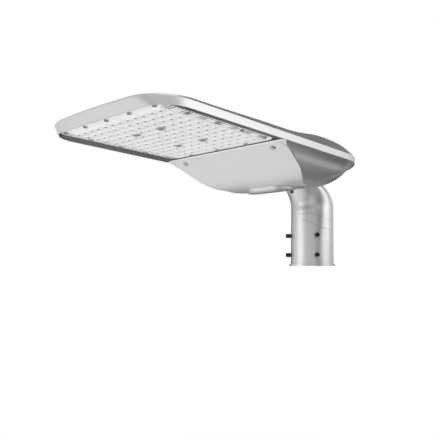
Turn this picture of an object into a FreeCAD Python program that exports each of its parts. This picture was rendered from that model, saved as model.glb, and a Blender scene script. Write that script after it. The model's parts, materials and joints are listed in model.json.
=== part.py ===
import FreeCAD, Part
import math
import os

V = FreeCAD.Vector

# LED street light head on a post-top spigot.
# Millimetres. The origin is the centre of the spigot's mouth, where the pole enters.
# +X runs from the pole towards the nose, over the road. +Z runs up the pole.
# The head is modelled level, and turned nose-up about its pivot at the end.

# Plan outline of the head
HALF_WIDTH = 130.7
NOSE_X = 513.5
NOSE_BOW_R = 1000.0
NOSE_CORNER_R = 57.0
NOSE_LOW_X = 498.6
NOSE_LOW_BOW_R = 5000.0
NOSE_LOW_CORNER_R = 41.0
TAIL_BOW_R = 140.0
TAIL_BOW_X = 120.0
TAIL_CORNER_R = 75.0
# How far forward the tail comes for each millimetre down the belly, and its growth with depth
TAIL_RAKE = 0.466
TAIL_RAKE_GROWTH = 0.018
ROOF_RAKE = 1.0

# Heights of the head
RIM_Z = 179.4
RIM_HEIGHT = 10.2
WALL = 3.2
GASKET = 1.6

# Flank and roof above the rim: how far in and how far up from the rim's top edge
FLANK = [(0, 0), (4, 5.6), (8.5, 11.6), (13, 16.6), (19, 21.0), (28, 24.8), (42, 28.0), (60, 30.0)]
# Roof line over the length, as height above the rim's lower edge
ROOF = [(530, 12.4), (470, 13.3), (400, 14.3), (300, 16.9), (240, 18.3), (205, 22.4), (150, 30.0),
        (120, 29.3), (98, 25.2), (78, 21.2), (30, 13.4), (-34, 3.0)]

# Belly under the rim: how far in and how far down from the rim's lower edge
BELLY = [(0, 0), (6, 3.5), (10, 9), (13, 17), (16, 24), (21, 30.5), (27, 35.5), (35, 39.5),
         (48, 42.8), (66, 45.0)]
RAMP_X = 264.5
RAMP_ANGLE = 24.5
RAMP_ARC_X = 198.5
KEEL_ARC_R = 150.0
KEEL_ANGLE = 8.0

# Spigot
SLEEVE_R = 41.6
SLEEVE_TOP = 100.0
SLEEVE_TOP_R = 40.9
SOCKET_R = 38.5
SOCKET_DEPTH = 95.0
LIP_R = 44.6
LIP_HEIGHT = 4.0
DOME_X = 8.0
DOME_Z = 105.0
DOME_R = 50.0
# Elbow sections: height, front reach, half width across
ELBOW = [(113, 40.6, 40.9), (121, 41.0, 40.8), (129, 44.6, 40.4), (138, 51.4, 39.6), (146, 58.8, 38.4),
         (152, 64.4, 36.6)]
OVAL_POINTS = 12
NECK = [(158, 42.0, 30.0, 33.0), (166, 50.0, 22.0, 31.0)]
GROOVE_TOP_Z = 107.5
GROOVE_SAG = 18.6
GROOVE_PITCH = 19.0
GROOVE_DEPTH = 0.5
GROOVE_WIDTH = 0.9
CLAMP_SCREW_Z = (21.5, 59.0)
CLAMP_SCREW_ANGLES = (45.0, -45.0)
CLAMP_SCREW_R = 4.0
CLAMP_SCREW_REACH = 10.0
NECK_SCREW_SPOT = (54.1, -10.0, 142.0)
NECK_SCREW_WAY = (-0.74, 0.19, 0.64)

# Tilt pivot
PIVOT_X = 62.0
PIVOT_Z = 168.0
BARREL_R = 22.0
BARREL_HALF = 33.0
PIVOT_BOLT_R = 5.0
EAR_IN = 37.0
EAR_OUT = 45.0
EAR_R = 18.0
TILT = 1.35

# Slot for the spigot in the belly
SLOT_HALF = 46.5
SLOT_FRONT_X = 118.0
SLOT_CORNER_R = 30.0
SLOT_TOP_Z = RIM_Z - 4.0
# Collar round the slot: how far out from the slot, and how far up from the keel line
COLLAR_LEVELS = [(4.0, -1.8), (8.0, -1.5), (11.0, -1.1), (14.0, -0.1), (16.5, 1.9), (18.0, 12.0)]
# How much further the collar reaches in front of the slot than beside it
COLLAR_FRONT = 2.0
COLLAR_X = 95.0
COLLAR_ANGLE = 14.0

# Gear compartment, closed towards the LED part by a bulkhead
BULKHEAD_X = 256.5
STRIP_X = 244.0
SEAL_FRONT_X = 256.3

# Gear cover
COVER_GAP = 0.8
COVER_EDGE_IN = -0.3
COVER_FRONT_HALF = 108.0
COVER_TAIL = [(140, 95.0), (105, 80.5), (72, 66.0)]
COVER_TAIL_X = 46.0
COVER_TAIL_HALF = 54.0

# Lens plate and LED board
LENS_X0 = 266.0
LENS_X1 = 494.3
LENS_HALF = 113.0
LENS_CORNER_R = 16.0
FLANGE_LOW = 3.4
FIELD_LOW = 2.2
LENS_TOP = 5.4
GASKET_TOP = 6.4
CENTRE_SCREW_ROOM = 11.0
BOARD_TOP = 8.1
FIELD_INSET = 15.0
LED_COLUMNS = 12
LED_ROWS = 12
LED_PITCH = 16.4
DOME_FOOT_R = 6.0
DOME_TIP_R = 3.4
DOME_DROP = 1.4
# Sides of the many-sided bars that stand for small screws and their holes
SMALL_SIDES = 6
HEAD_SIDES = 12

# Gear inside
TRAY_LOW = 184.0
TRAY_TOP = 186.0
TRAY_X0 = 118.0
TRAY_X1 = 236.0
TRAY_HALF = 100.0
TRAY_PLACES = [(132.0, 92.0), (132.0, -92.0), (226.0, 92.0), (226.0, -92.0)]
DRIVER_X0 = 124.0
DRIVER_X1 = 184.0
DRIVER_HALF = 74.0
DRIVER_LOW = 150.0
LEAD_R = 1.2
LEAD_Z = RIM_Z + 10.3
LEAD_END_X = 282.0
LEAD_LOW_Z = 176.0
LEAD_ROOM = 2.0
BEND_STEPS = 3
GLAND_R = 3.05

HEAD_TURN = (V(PIVOT_X, 0, PIVOT_Z), V(0, 1, 0), -TILT)


def box(x0, x1, y0, y1, z0, z1):
    return Part.makeBox(x1 - x0, y1 - y0, z1 - z0, V(x0, y0, z0))


def rod(radius, start, end):
    """Cylinder between two points."""
    start, end = V(*start), V(*end)
    way = end - start
    return Part.makeCylinder(radius, way.Length, start, way)


def bar(radius, start, end, sides=SMALL_SIDES):
    """Many-sided bar between two points."""
    start, end = V(*start), V(*end)
    way = end - start
    corners = [V(radius * math.cos(a), radius * math.sin(a), 0)
               for a in [2 * math.pi * k / sides for k in range(sides + 1)]]
    shape = Part.Face(Part.makePolygon(corners)).extrude(V(0, 0, way.Length))
    shape.Placement = FreeCAD.Placement(start, FreeCAD.Rotation(V(0, 0, 1), way))
    return shape


def fuse_all(shapes):
    whole = shapes[0]
    if len(shapes) > 1:
        whole = shapes[0].multiFuse(shapes[1:])
    return whole.removeSplitter()


def mirrored(shape):
    return shape.mirror(V(0, 0, 0), V(0, 1, 0))


def both_sides(shape):
    return [shape, mirrored(shape)]


def arc(cx, cy, z, r, start, end):
    """Arc in plan about (cx, cy) between two angles in degrees."""
    points = []
    for angle in (start, (start + end) / 2, end):
        a = math.radians(angle)
        points.append(V(cx + r * math.cos(a), cy + r * math.sin(a), z))
    return Part.Arc(*points).toShape()


def line(x0, y0, x1, y1, z):
    return Part.makeLine(V(x0, y0, z), V(x1, y1, z))


def nose_end(nose_x, bow_r, corner_r, half):
    """Centre of the bow, centre of the corner arc and the angle where the two arcs meet."""
    bow_x = nose_x - bow_r
    cy = half - corner_r
    dx = math.sqrt((bow_r - corner_r) ** 2 - cy ** 2)
    return bow_x, bow_x + dx, cy, math.degrees(math.atan2(cy, dx))


def head_outline(inset, z, rake=0.0, nose=(NOSE_X, NOSE_BOW_R, NOSE_CORNER_R)):
    """The head's plan outline, moved in by inset, with its round tail moved forward by rake."""
    half = HALF_WIDTH - inset
    nose_r = max(nose[2] - inset, 3.0)
    bow_r = nose[1] - inset
    bow_x, cx, cy, meet = nose_end(nose[0] - inset, bow_r, nose_r, half)
    tail_r = TAIL_CORNER_R - inset
    tail_bow_r = TAIL_BOW_R - inset
    tail_x = TAIL_BOW_X + rake
    ty = half - tail_r
    tx = tail_x - math.sqrt((tail_bow_r - tail_r) ** 2 - ty ** 2)
    turn = math.degrees(math.atan2(ty, tail_x - tx))
    edges = [arc(bow_x, 0, z, bow_r, -meet, meet),
             arc(cx, cy, z, nose_r, meet, 90),
             line(cx, half, tx, half, z),
             arc(tx, ty, z, tail_r, 90, 180 - turn),
             arc(tail_x, 0, z, tail_bow_r, 180 - turn, 180 + turn),
             arc(tx, -ty, z, tail_r, 180 + turn, 270),
             line(tx, -half, cx, -half, z),
             arc(cx, -cy, z, nose_r, 270, 360 - meet)]
    return Part.Wire(edges)


def pocket_outline(x0, nose_x, bow_r, corner_r, half, z):
    """Outline with a straight tail end at x0 and a bowed nose with round corners."""
    bow_x, cx, cy, meet = nose_end(nose_x, bow_r, corner_r, half)
    edges = [arc(bow_x, 0, z, bow_r, -meet, meet),
             arc(cx, cy, z, corner_r, meet, 90),
             line(cx, half, x0, half, z),
             line(x0, half, x0, -half, z),
             line(x0, -half, cx, -half, z),
             arc(cx, -cy, z, corner_r, 270, 360 - meet)]
    return Part.Wire(edges)


def rounded_plate(x0, x1, half, r, z0, z1):
    """Flat plate with rounded corners."""
    edges = [line(x1, -half + r, x1, half - r, z0),
             arc(x1 - r, half - r, z0, r, 0, 90),
             line(x1 - r, half, x0 + r, half, z0),
             arc(x0 + r, half - r, z0, r, 90, 180),
             line(x0, half - r, x0, -half + r, z0),
             arc(x0 + r, -half + r, z0, r, 180, 270),
             line(x0 + r, -half, x1 - r, -half, z0),
             arc(x1 - r, -half + r, z0, r, 270, 360)]
    return Part.Face(Part.Wire(edges)).extrude(V(0, 0, z1 - z0))


def stack(levels, skin):
    """Solid through head outlines at (inset, height, rake) levels: smooth outside, in bands inside."""
    return Part.makeLoft([head_outline(*level) for level in levels], True, skin > 0)


def side_prism(edges, half=150.0):
    """Solid of a closed side view in the XZ plane, drawn at y = -half, carried across the width."""
    return Part.Face(Part.Wire(edges)).extrude(V(0, 2 * half, 0))


def top_solid(skin):
    """Everything of the head above the rim's lower edge, moved in by skin."""
    nose_low = (NOSE_LOW_X, NOSE_LOW_BOW_R, NOSE_LOW_CORNER_R)
    low = head_outline(skin, RIM_Z, 0.0, nose_low)
    high = head_outline(skin, RIM_Z + RIM_HEIGHT)
    band = Part.makeLoft([low, high], True, True)
    flank = stack([(inset + skin, RIM_Z + RIM_HEIGHT + up, ROOF_RAKE * up) for inset, up in FLANK], skin)
    spline = Part.BSplineCurve()
    spline.interpolate([V(x, -150, RIM_Z + up - skin) for x, up in ROOF])
    first, last = ROOF[0], ROOF[-1]
    low = RIM_Z - 10
    start = V(first[0], -150, RIM_Z + first[1] - skin)
    end = V(last[0], -150, RIM_Z + last[1] - skin)
    edges = [spline.toShape(),
             Part.makeLine(end, V(last[0], -150, low)),
             Part.makeLine(V(last[0], -150, low), V(first[0], -150, low)),
             Part.makeLine(V(first[0], -150, low), start)]
    roof = side_prism(edges)
    return band.fuse(flank).common(roof)


def keel_centre():
    """Centre of the keel's arc, between the ramp and the line that rises to the tail."""
    a = math.radians(RAMP_ANGLE)
    ramp_end_z = RIM_Z - (RAMP_X - RAMP_ARC_X) * math.tan(a)
    return RAMP_ARC_X - KEEL_ARC_R * math.sin(a), ramp_end_z + KEEL_ARC_R * math.cos(a)


def keel_z(x, skin=0.0):
    """Height of the keel line at x."""
    cx, cz = keel_centre()
    r = KEEL_ARC_R - skin
    front_x = cx + r * math.sin(math.radians(RAMP_ANGLE))
    back_x = cx - r * math.sin(math.radians(KEEL_ANGLE))
    if x > front_x:
        z_front = cz - r * math.cos(math.radians(RAMP_ANGLE))
        return z_front + (x - front_x) * math.tan(math.radians(RAMP_ANGLE))
    if x < back_x:
        z_back = cz - r * math.cos(math.radians(KEEL_ANGLE))
        return z_back + (back_x - x) * math.tan(math.radians(KEEL_ANGLE))
    return cz - math.sqrt(r * r - (x - cx) ** 2)


def keel_prism(skin):
    """Side view of the belly: under the rim, above the ramp and the keel line."""
    cx, cz = keel_centre()
    r = KEEL_ARC_R - skin
    a = math.radians(RAMP_ANGLE)
    b = math.radians(KEEL_ANGLE)
    front = V(cx + r * math.sin(a), -150, cz - r * math.cos(a))
    middle_turn = (a - b) / 2
    middle = V(cx + r * math.sin(middle_turn), -150, cz - r * math.cos(middle_turn))
    back = V(cx - r * math.sin(b), -150, cz - r * math.cos(b))
    top = RIM_Z + max(skin, 0.0)
    nose = V(front.x + (top - front.z) / math.tan(a), -150, top)
    tail = V(-60, -150, back.z + (back.x + 60) * math.tan(b))
    corner = V(-60, -150, top)
    edges = [Part.makeLine(nose, front), Part.Arc(front, middle, back).toShape(),
             Part.makeLine(back, tail), Part.makeLine(tail, corner), Part.makeLine(corner, nose)]
    return side_prism(edges)


def belly_solid(skin):
    """The hull under the rim, moved in by skin."""
    levels = [(inset + skin, RIM_Z - down + skin, (TAIL_RAKE + TAIL_RAKE_GROWTH * down) * down)
              for inset, down in BELLY]
    return stack(levels, skin).common(keel_prism(skin))


def belly_in(down):
    """How far in the belly has come at a depth, between the points of its profile."""
    for (in0, down0), (in1, down1) in zip(BELLY, BELLY[1:]):
        if down <= down1:
            return in0 + (in1 - in0) * (down - down0) / (down1 - down0)
    return BELLY[-1][0]


def seam_half(x):
    """Half width of the gear cover at x, just outside the crease of ramp and side."""
    crease = HALF_WIDTH - belly_in(RIM_Z - keel_z(x))
    return crease + COVER_EDGE_IN


def cover_prism(grow, low=90.0, high=RIM_Z + 1.0):
    """Upright solid over the gear cover's plan, moved out by grow."""
    front_x = RAMP_X + grow
    side = [V(front_x, COVER_FRONT_HALF + grow, low), V(RAMP_X - 6, COVER_FRONT_HALF + 10 + grow, low)]
    side += [V(x, seam_half(x) + grow, low) for x in (246, 228, 210, 190, 170)]
    side += [V(x, half + grow, low) for x, half in COVER_TAIL]
    side.append(V(COVER_TAIL_X - grow, COVER_TAIL_HALF + grow, low))
    near = Part.BSplineCurve()
    near.interpolate(side)
    far = Part.BSplineCurve()
    far.interpolate([V(p.x, -p.y, p.z) for p in reversed(side)])
    start, end = side[0], side[-1]
    edges = [line(front_x, -start.y, front_x, start.y, low),
             near.toShape(),
             line(end.x, end.y, end.x, -end.y, low),
             far.toShape()]
    return Part.Face(Part.Wire(edges)).extrude(V(0, 0, high - low))


def slot_wire(grow, z, front_grow=0.0):
    """Outline of the spigot's slot, moved out by grow: round at the front, open at the tail."""
    half = SLOT_HALF + grow
    r = SLOT_CORNER_R + grow
    front = SLOT_FRONT_X + max(grow, front_grow)
    edges = [line(front, -half + r, front, half - r, z),
             arc(front - r, half - r, z, r, 0, 90),
             line(front - r, half, -70, half, z),
             line(-70, half, -70, -half, z),
             line(-70, -half, front - r, -half, z),
             arc(front - r, -half + r, z, r, 270, 360)]
    return Part.Wire(edges)


def slot_prism(grow, low=80.0, high=SLOT_TOP_Z):
    """Upright solid over the spigot's slot."""
    return Part.Face(slot_wire(grow, low)).extrude(V(0, 0, high - low))


def lens_pocket():
    """Dished border under the LED part, the lens plate's seat and the board's recess."""
    low = pocket_outline(LENS_X0 - 1.5, NOSE_LOW_X - 1.2, NOSE_LOW_BOW_R, NOSE_LOW_CORNER_R - 1.2,
                         HALF_WIDTH - 1.2, RIM_Z - 0.01)
    high = pocket_outline(LENS_X0 - 0.5, LENS_X1 + 0.6, 6000.0, LENS_CORNER_R + 0.6,
                          LENS_HALF + 0.6, RIM_Z + FLANGE_LOW)
    dish = Part.makeLoft([low, high], True, True)
    seat = rounded_plate(LENS_X0 - 0.4, LENS_X1 + 0.4, LENS_HALF + 0.4, LENS_CORNER_R + 0.4,
                         RIM_Z + FLANGE_LOW - 1.0, RIM_Z + GASKET_TOP)
    recess = rounded_plate(LENS_X0 + 10.5, LENS_X1 - 10.5, LENS_HALF - 10.5, 4.0,
                           RIM_Z + GASKET_TOP - 0.1, RIM_Z + BOARD_TOP)
    return fuse_all([dish, seat, recess])


def lens_screw_places():
    """Places of the screws round the lens plate's border."""
    places = [(LENS_X1 - 7.5, y) for y in (-98, -49, 0, 49, 98)]
    for x in (440, 385, 335, 285):
        places += [(x, LENS_HALF - 7.5), (x, -LENS_HALF + 7.5)]
    places += [(LENS_X0 + 7.5, y) for y in (-60, 0, 60)]
    return places


def centre_screw_places():
    return [(x, y) for x in (416, 334) for y in (-27, 27)]


def cover_screw_places():
    return [(252.0, 96.0), (252.0, -96.0)]


def ramp_way():
    """Direction square to the ramp, pointing into the head."""
    a = math.radians(RAMP_ANGLE)
    return V(-math.sin(a), 0, math.cos(a))


def ramp_rod(radius, x, y, start, end):
    """Cylinder square to the ramp, between two depths measured from its surface at x, y."""
    foot = V(x, y, keel_z(x))
    way = ramp_way()
    return Part.makeCylinder(radius, end - start, foot + way * start, way)


def gear_cavity():
    """Room for the gear above the cover, closed to the LED part by a bulkhead."""
    upper = top_solid(WALL).common(box(-60, BULKHEAD_X, -150, 150, RIM_Z - 1, RIM_Z + 60))
    lower = belly_solid(WALL)
    return upper.fuse(lower).common(box(-60, BULKHEAD_X, -150, 150, 60, RIM_Z + 60))


def ears():
    """Two cast ears that carry the pivot bolt, each with a web to the side."""
    top = RIM_Z + 45
    plate = box(PIVOT_X - EAR_R, PIVOT_X + EAR_R, EAR_IN, EAR_OUT, PIVOT_Z, top)
    foot = rod(EAR_R, (PIVOT_X, EAR_IN, PIVOT_Z), (PIVOT_X, EAR_OUT, PIVOT_Z))
    ear = plate.fuse(foot)
    web = box(PIVOT_X + 2, PIVOT_X + 8, EAR_OUT - 1, EAR_OUT + 22, PIVOT_Z + 14, top)
    return [ear, web, mirrored(ear), mirrored(web)]


def tray_bosses():
    return [rod(5.0, (x, y, TRAY_TOP), (x, y, RIM_Z + 45)) for x, y in TRAY_PLACES]


def cover_bosses():
    return [ramp_rod(5.5, x, y, WALL, 40.0) for x, y in cover_screw_places()]


def seal_strip(outer, inner, front_x):
    """Upright solid over the strip along the gear cover's edge, full width in front of front_x."""
    inside = cover_prism(inner, 60.0, RIM_Z + 8.0).common(box(-60, front_x, -150, 150, 50, RIM_Z + 9.0))
    strip = cover_prism(outer, 70.0, RIM_Z + 7.0).cut(inside)
    return strip.cut(slot_prism(0.0, 60.0, RIM_Z + 8.0))


def flange_ring(outer, inner, skin_out, skin_in, front_x=STRIP_X):
    """Band between two skins of the belly, over the strip along the gear cover's edge."""
    return belly_solid(skin_out).cut(belly_solid(skin_in)).common(seal_strip(outer, inner, front_x))


def lead_passage():
    """Way for the LED lead through the bulkhead and down to the board."""
    bore = rod(GLAND_R, (BULKHEAD_X - 2, 0, LEAD_Z), (BULKHEAD_X + 8, 0, LEAD_Z))
    way = bar(LEAD_ROOM, (BULKHEAD_X + 7, 0, LEAD_Z), (LEAD_END_X + LEAD_ROOM, 0, LEAD_Z))
    drop = bar(LEAD_ROOM, (LEAD_END_X, 0, LEAD_Z), (LEAD_END_X, 0, RIM_Z + GASKET_TOP))
    return [bore, way, drop]


def make_housing():
    hull = top_solid(0.0).fuse(belly_solid(0.0))
    shell = hull.cut(gear_cavity())
    shell = shell.cut(cover_prism(COVER_GAP, 60.0, RIM_Z + 0.001).cut(belly_solid(WALL)))
    shell = shell.fuse(flange_ring(5.0, COVER_GAP, WALL - 1.0, WALL + 4.0, RAMP_X + 10.0))
    shell = shell.fuse(flange_ring(5.0, -7.5, WALL + GASKET, WALL + 4.0))
    shell = shell.cut(slot_prism(0.0))
    inner_hull = top_solid(1.0).fuse(belly_solid(WALL))
    inside = Part.makeCompound(ears() + tray_bosses() + cover_bosses()).common(inner_hull)
    shell = shell.fuse(inside.Solids)
    shell = shell.cut(lens_pocket())
    holes = [rod(PIVOT_BOLT_R + 0.2, (PIVOT_X, -60, PIVOT_Z), (PIVOT_X, 60, PIVOT_Z))]
    holes += [bar(2.2, (x, y, RIM_Z + 5), (x, y, RIM_Z + 8.2)) for x, y in lens_screw_places()]
    holes += [bar(2.2, (x, y, RIM_Z + 7), (x, y, RIM_Z + 11.4)) for x, y in centre_screw_places()]
    holes += [ramp_rod(2.5, x, y, 0.0, 14.0) for x, y in cover_screw_places()]
    holes += [bar(2.2, (x, y, TRAY_TOP - 1), (x, y, TRAY_TOP + 7)) for x, y in TRAY_PLACES]
    return shell.cut(Part.makeCompound(holes + lead_passage()))


def collar():
    """Soft skirt on the gear cover round the spigot's slot."""
    line_z = keel_z(COLLAR_X)
    levels = [slot_wire(grow, line_z + up, COLLAR_FRONT * grow) for grow, up in COLLAR_LEVELS]
    skirt = Part.makeLoft(levels, True, True)
    skirt.rotate(V(COLLAR_X, 0, line_z), V(0, 1, 0), COLLAR_ANGLE)
    return skirt.cut(belly_solid(0.5)).common(cover_prism(-0.2, 60.0, RIM_Z))


def make_gear_cover():
    skin = belly_solid(0.0).cut(belly_solid(WALL))
    cover = skin.common(cover_prism(0.0, 60.0, RIM_Z - 0.01))
    cover = cover.fuse(collar()).cut(slot_prism(0.0, 60.0, RIM_Z))
    holes = []
    for x, y in cover_screw_places():
        holes += [ramp_rod(2.7, x, y, -3.0, 12.0), ramp_rod(4.5, x, y, -3.0, 1.2)]
    return cover.cut(Part.makeCompound(holes))


def make_cover_gasket():
    ring = flange_ring(-0.5, -6.5, WALL, WALL + GASKET).common(box(-60, SEAL_FRONT_X, -150, 150, 60, 200))
    bosses = [ramp_rod(6.0, x, y, 0.0, 30.0) for x, y in cover_screw_places()]
    return ring.cut(Part.makeCompound(bosses))


def socket_screw(head_r, head_h, shank_r, shank_l, hex_r):
    """Cap screw along +Z: its head's underside lies at z = 0, the shank runs up."""
    head = bar(head_r, (0, 0, -head_h), (0, 0, 0), HEAD_SIDES)
    shank = bar(shank_r, (0, 0, 0), (0, 0, shank_l))
    recess = bar(hex_r, (0, 0, -head_h), (0, 0, -0.4 * head_h))
    return head.fuse(shank).cut(recess)


def placed(shape, spot, way=(0, 0, 1)):
    """Copy of a shape modelled along +Z, moved to a spot and turned to point along way."""
    copy = shape.copy()
    copy.Placement = FreeCAD.Placement(V(*spot), FreeCAD.Rotation(V(0, 0, 1), V(*way)))
    return copy


def make_cover_screws():
    screw = socket_screw(4.2, 3.0, 2.4, 12.0, 1.9)
    way = ramp_way()
    screws = []
    for x, y in cover_screw_places():
        seat = V(x, y, keel_z(x)) + way * 1.2
        screws.append(placed(screw, seat, way))
    return Part.makeCompound(screws)


def make_lens_plate():
    inner = FIELD_INSET
    flange = rounded_plate(LENS_X0, LENS_X1, LENS_HALF, LENS_CORNER_R, RIM_Z + FLANGE_LOW, RIM_Z + LENS_TOP)
    hole = rounded_plate(LENS_X0 + inner, LENS_X1 - inner, LENS_HALF - inner, 4.0, RIM_Z, RIM_Z + 10)
    field = rounded_plate(LENS_X0 + inner - 1.5, LENS_X1 - inner + 1.5, LENS_HALF - inner + 1.5, 5.0,
                          RIM_Z + FIELD_LOW, RIM_Z + FIELD_LOW + 2.0)
    plate = flange.cut(hole).fuse(field)
    dome = lens_dome()
    domes = [placed(dome, (x, y, RIM_Z + FIELD_LOW)) for x, y in led_places()]
    plate = plate.fuse(domes)
    holes = [bar(2.4, (x, y, RIM_Z), (x, y, RIM_Z + 8)) for x, y in lens_screw_places() + centre_screw_places()]
    return plate.cut(Part.makeCompound(holes))


def ring_of_points(r, z, sides=SMALL_SIDES):
    return [V(r * math.cos(a), r * math.sin(a), z) for a in [2 * math.pi * k / sides for k in range(sides)]]


def lens_dome():
    """One lens: a low cap with flat sides under the plate, its foot a little inside the plate."""
    foot = ring_of_points(DOME_FOOT_R, 0.2)
    tip = ring_of_points(DOME_TIP_R, -DOME_DROP)
    faces = [Part.Face(Part.makePolygon(ring + ring[:1])) for ring in (foot, tip)]
    for k in range(SMALL_SIDES):
        n = (k + 1) % SMALL_SIDES
        faces.append(Part.Face(Part.makePolygon([foot[k], foot[n], tip[n], tip[k], foot[k]])))
    return Part.Solid(Part.Shell(faces))


def led_places():
    """Grid of LEDs, with none where a centre screw passes."""
    x0 = (LENS_X0 + LENS_X1 - (LED_COLUMNS - 1) * LED_PITCH) / 2
    y0 = -(LED_ROWS - 1) * LED_PITCH / 2
    grid = [(x0 + i * LED_PITCH, y0 + j * LED_PITCH) for i in range(LED_COLUMNS) for j in range(LED_ROWS)]
    return [(x, y) for x, y in grid
            if min(math.hypot(x - cx, y - cy) for cx, cy in centre_screw_places()) > CENTRE_SCREW_ROOM]


def make_lens_gasket():
    outer = rounded_plate(LENS_X0 + 1, LENS_X1 - 1, LENS_HALF - 1, LENS_CORNER_R - 1,
                          RIM_Z + LENS_TOP, RIM_Z + GASKET_TOP)
    inner = rounded_plate(LENS_X0 + 10.5, LENS_X1 - 10.5, LENS_HALF - 10.5, 4.0, RIM_Z, RIM_Z + 10)
    holes = [bar(2.4, (x, y, RIM_Z), (x, y, RIM_Z + 10)) for x, y in lens_screw_places()]
    return outer.cut(inner).cut(Part.makeCompound(holes))


def make_led_board():
    board = rounded_plate(LENS_X0 + 11, LENS_X1 - 11, LENS_HALF - 11, 3.5, RIM_Z + GASKET_TOP + 0.1,
                          RIM_Z + BOARD_TOP)
    holes = [bar(2.4, (x, y, RIM_Z), (x, y, RIM_Z + 10)) for x, y in centre_screw_places()]
    return board.cut(Part.makeCompound(holes))


def make_led_chips():
    low, top = RIM_Z + GASKET_TOP - 0.6, RIM_Z + GASKET_TOP + 0.1
    return Part.makeCompound([box(x - 1.75, x + 1.75, y - 1.75, y + 1.75, low, top) for x, y in led_places()])


def make_lens_screws():
    screw = socket_screw(3.4, 2.0, 1.9, 4.6, 1.5)
    spots = [(x, y, RIM_Z + FLANGE_LOW) for x, y in lens_screw_places()]
    return Part.makeCompound([placed(screw, spot) for spot in spots])


def make_centre_screws():
    screw = socket_screw(3.8, 2.0, 1.9, 8.9, 1.5)
    spots = [(x, y, RIM_Z + FIELD_LOW) for x, y in centre_screw_places()]
    return Part.makeCompound([placed(screw, spot) for spot in spots])


def make_gear_tray():
    """Folded sheet with two turned-up edges, hung under the bosses of the roof."""
    sheet = box(TRAY_X0, TRAY_X1, -TRAY_HALF, TRAY_HALF, TRAY_LOW, TRAY_TOP)
    edge = box(TRAY_X0, TRAY_X1, TRAY_HALF - 2, TRAY_HALF, TRAY_LOW, TRAY_TOP + 4)
    tray = fuse_all([sheet] + both_sides(edge))
    holes = [bar(2.4, (x, y, TRAY_LOW - 5), (x, y, TRAY_TOP + 5)) for x, y in TRAY_PLACES]
    holes += [bar(2.4, (x, y, TRAY_LOW - 5), (x, y, TRAY_TOP + 5)) for x, y in gear_screw_places()]
    slots = [box(198, 204, y - 10, y + 10, TRAY_LOW - 5, TRAY_TOP + 5) for y in (-84, 82)]
    return tray.cut(Part.makeCompound(holes + slots))


def driver_screw_places():
    return [((DRIVER_X0 + DRIVER_X1) / 2, side * (DRIVER_HALF + 6)) for side in (1, -1)]


def gear_screw_places():
    return driver_screw_places() + [(211.0, 76.0), (211.0, 18.0), (211.0, -12.0), (211.0, -72.0)]


def make_tray_screws():
    screw = socket_screw(3.6, 2.2, 1.9, 8.0, 1.6)
    return Part.makeCompound([placed(screw, (x, y, TRAY_LOW)) for x, y in TRAY_PLACES])


def make_gear_screws():
    """Screws that come up through the feet of the driver, protector and terminals."""
    screw = socket_screw(3.4, 2.0, 1.9, 7.5, 1.5)
    return Part.makeCompound([placed(screw, (x, y, TRAY_LOW - 3)) for x, y in gear_screw_places()])


def make_led_driver():
    """Sealed driver case: rounded body, two end feet and a row of cooling ribs."""
    middle = (DRIVER_X0 + DRIVER_X1) / 2
    body = box(DRIVER_X0, DRIVER_X1, -DRIVER_HALF, DRIVER_HALF, DRIVER_LOW, TRAY_LOW)
    low_edges = [e for e in body.Edges if e.BoundBox.ZMax < DRIVER_LOW + 1 and e.BoundBox.YLength > 100]
    body = body.makeFillet(4.0, low_edges)
    grooves = [box(x - 1.2, x + 1.2, -DRIVER_HALF + 10, DRIVER_HALF - 10, DRIVER_LOW - 1, DRIVER_LOW + 2)
               for x in [DRIVER_X0 + 12 + 6 * k for k in range(7)]]
    foot = box(middle - 12, middle + 12, DRIVER_HALF - 1, DRIVER_HALF + 12, TRAY_LOW - 3, TRAY_LOW)
    body = fuse_all([body.cut(Part.makeCompound(grooves))] + both_sides(foot))
    holes = [bar(2.4, (x, y, TRAY_LOW - 8), (x, y, TRAY_LOW + 1)) for x, y in driver_screw_places()]
    return body.cut(Part.makeCompound(holes))


def block_with_feet(x0, x1, y0, y1, low, screw_ys):
    """Moulded block under the tray with a screwed foot at each end."""
    body = box(x0, x1, y0, y1, low, TRAY_LOW)
    feet = [box(x0 + 6, x1 - 6, y0 - 11, y0 + 1, TRAY_LOW - 3, TRAY_LOW),
            box(x0 + 6, x1 - 6, y1 - 1, y1 + 11, TRAY_LOW - 3, TRAY_LOW)]
    body = fuse_all([body] + feet)
    holes = [bar(2.4, (211.0, y, TRAY_LOW - 8), (211.0, y, TRAY_LOW + 1)) for y in screw_ys]
    return body.cut(Part.makeCompound(holes))


def make_surge_protector():
    return block_with_feet(197.0, 225.0, 24.0, 70.0, 169.0, (18.0, 76.0))


def make_terminal_block():
    """Five-way block with a wire mouth and a screw well for each way."""
    block = block_with_feet(198.0, 224.0, -66.0, -18.0, 170.0, (-12.0, -72.0))
    ways = [-60.0 + 9.0 * k for k in range(5)]
    mouths = [box(196, 204, y - 2.5, y + 2.5, 173.0, 179.0) for y in ways]
    wells = [bar(2.2, (211.0, y, 168.0), (211.0, y, 176.0)) for y in ways]
    return block.cut(Part.makeCompound(mouths + wells))


def make_lead_gland():
    """Cable gland in the bulkhead: body in the bore, flange and hexagon nut in the gear part."""
    body = rod(GLAND_R - 0.05, (BULKHEAD_X, 0, LEAD_Z), (BULKHEAD_X + 6.5, 0, LEAD_Z))
    nut = hexagon(GLAND_R + 1.05, (BULKHEAD_X - 5.5, 0, LEAD_Z), 5.5)
    bore = rod(LEAD_R + 0.1, (BULKHEAD_X - 8, 0, LEAD_Z), (BULKHEAD_X + 9, 0, LEAD_Z))
    return body.fuse(nut).cut(bore)


def hexagon(corner_r, start, length):
    """Hexagonal bar along +X."""
    x, y, z = start
    corners = [V(x, y + corner_r * math.cos(a), z + corner_r * math.sin(a))
               for a in [math.radians(60 * k) for k in range(7)]]
    return Part.Face(Part.makePolygon(corners)).extrude(V(length, 0, 0))


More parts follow.
